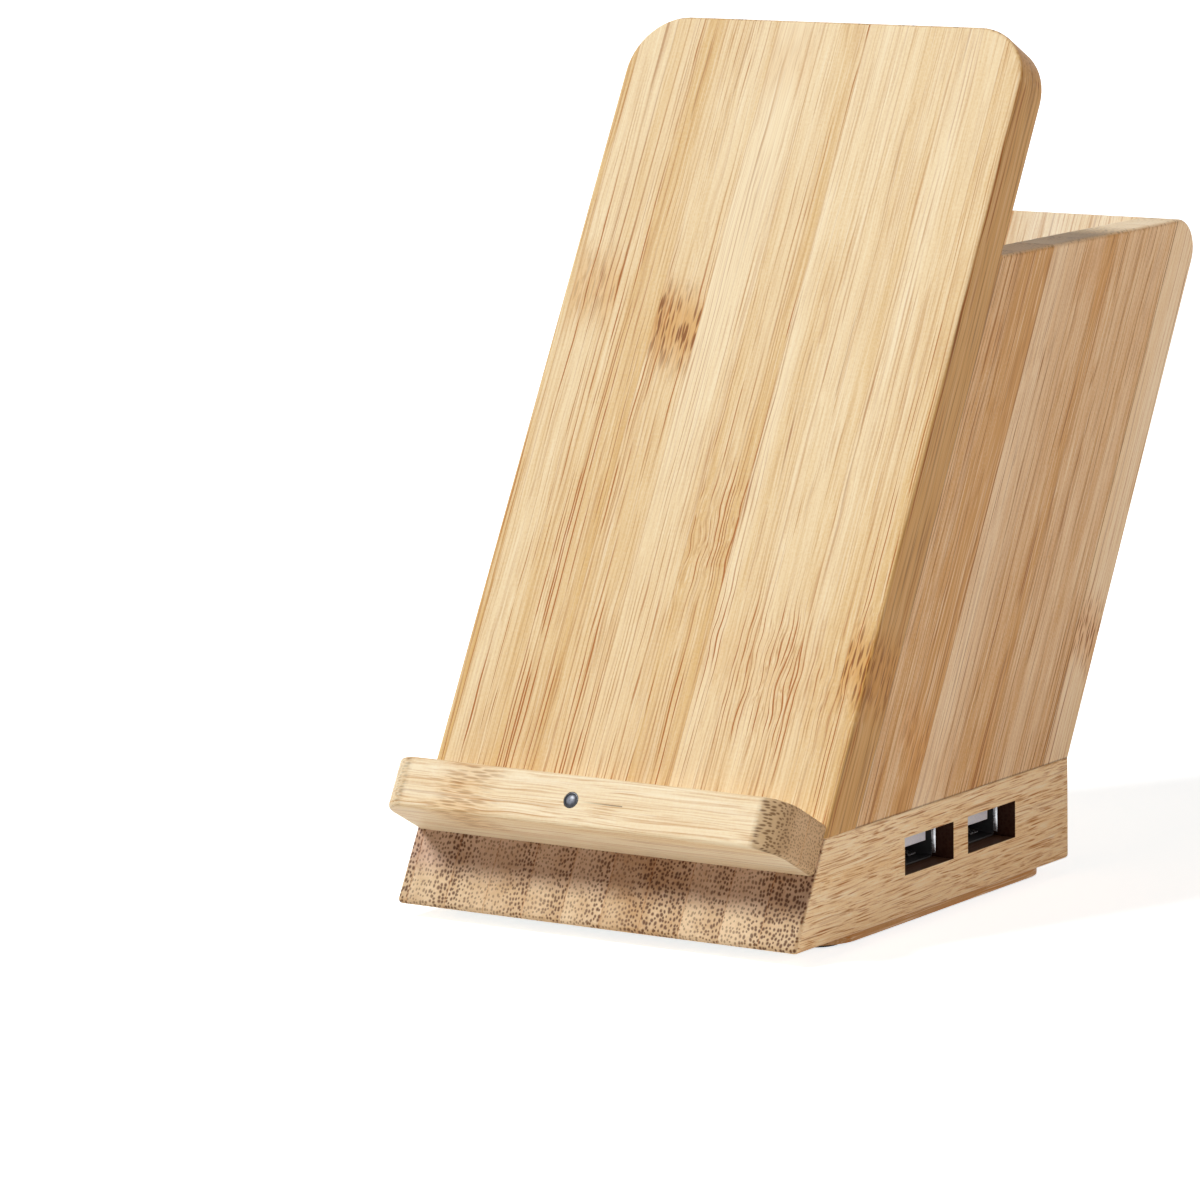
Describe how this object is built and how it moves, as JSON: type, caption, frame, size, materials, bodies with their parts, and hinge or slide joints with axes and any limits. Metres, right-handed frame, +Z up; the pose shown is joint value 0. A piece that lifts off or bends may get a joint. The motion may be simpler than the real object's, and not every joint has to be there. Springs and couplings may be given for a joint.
{
  "type": "charging station organizer",
  "caption": "Bamboo desk stand: a leaning wireless charging plate with a phone lip, a pen box behind it and USB sockets in both sides of its base.",
  "frame": {"origin": "on the desk, under the middle of the base block", "axes": "+X to the right of someone facing the charging plate, +Y to the rear, +Z up"},
  "size_m": [0.075, 0.1316, 0.1382],
  "materials": {
    "bamboo_slope": "sanded laminated bamboo, clear matt lacquer, grain up the slope",
    "bamboo_base": "sanded laminated bamboo, clear matt lacquer, grain front to rear",
    "bamboo_lip": "sanded laminated bamboo, clear matt lacquer, grain along the lip",
    "dowel_wood": "turned hardwood",
    "foot_rubber": "soft matt rubber",
    "screw_steel": "zinc plated",
    "socket_steel": "nickel plated sheet",
    "socket_plastic": "moulded, pale",
    "inlet_plastic": "moulded, black",
    "contact_brass": "gold flashed",
    "board_laminate": "glass laminate with solder mask",
    "chip_epoxy": "moulded epoxy",
    "ferrite": "sintered, dull",
    "capacitor_can": "drawn can",
    "header_nylon": "moulded nylon",
    "coil_copper": "enamelled copper strand",
    "lead_insulation": "smooth jacket",
    "lens_plastic": "smoked, polished",
    "lamp_epoxy": "cast clear epoxy"
  },
  "bodies": {
    "root": {"backrest_plate": "bamboo_slope", "coil_panel": "bamboo_slope", "left_wall": "bamboo_slope", "right_wall": "bamboo_slope", "rear_wall": "bamboo_slope", "base_block": "bamboo_base", "bottom_cover": "bamboo_base", "front_lip": "bamboo_lip", "lip_dowels": "dowel_wood", "plate_dowels": "dowel_wood", "wall_dowels": "dowel_wood", "rear_wall_dowels": "dowel_wood", "rubber_feet": "foot_rubber", "board_screws": "screw_steel", "cover_screws": "screw_steel", "usb_shell_left_front": "socket_steel", "usb_shell_left_rear": "socket_steel", "usb_shell_right_front": "socket_steel", "usb_shell_right_rear": "socket_steel", "inlet_shell": "socket_steel", "usb_tongue_left_front": "socket_plastic", "usb_tongue_left_rear": "socket_plastic", "usb_tongue_right_front": "socket_plastic", "usb_tongue_right_rear": "socket_plastic", "inlet_tongue": "inlet_plastic", "usb_contacts_left_front": "contact_brass", "usb_contacts_left_rear": "contact_brass", "usb_contacts_right_front": "contact_brass", "usb_contacts_right_rear": "contact_brass", "circuit_board": "board_laminate", "hub_chip": "chip_epoxy", "charger_chip": "chip_epoxy", "ferrite_shield": "ferrite", "power_choke": "ferrite", "capacitors": "capacitor_can", "coil_header": "header_nylon", "indicator_header": "header_nylon", "charge_coil": "coil_copper", "coil_leads": "lead_insulation", "indicator_leads": "lead_insulation", "indicator_lens": "lens_plastic", "indicator_lamp": "lamp_epoxy"}
  },
  "joints": []
}
